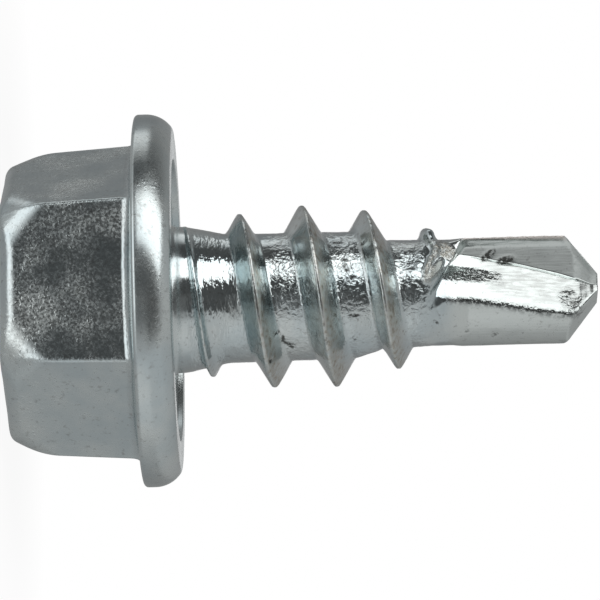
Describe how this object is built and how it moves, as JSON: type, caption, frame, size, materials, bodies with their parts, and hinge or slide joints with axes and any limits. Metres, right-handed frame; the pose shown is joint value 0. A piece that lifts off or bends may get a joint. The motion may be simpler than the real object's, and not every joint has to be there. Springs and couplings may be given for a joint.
{
  "type": "drilling screw",
  "caption": "Zinc-plated hexagon washer head drilling screw: drafted hexagon, wide flange, coarse right-hand thread and a fluted drill point.",
  "frame": {"origin": "centre of the head's flat end, on which the screw stands", "axes": "+Z along the screw from the head to the drill point; a corner of the hexagon is on +X"},
  "size_m": [0.0108, 0.0108, 0.0171],
  "materials": {
    "zinc_plated_steel": "bright zinc plating on cold-formed steel, finely speckled"
  },
  "bodies": {
    "root": {"screw": "zinc_plated_steel"}
  },
  "joints": []
}
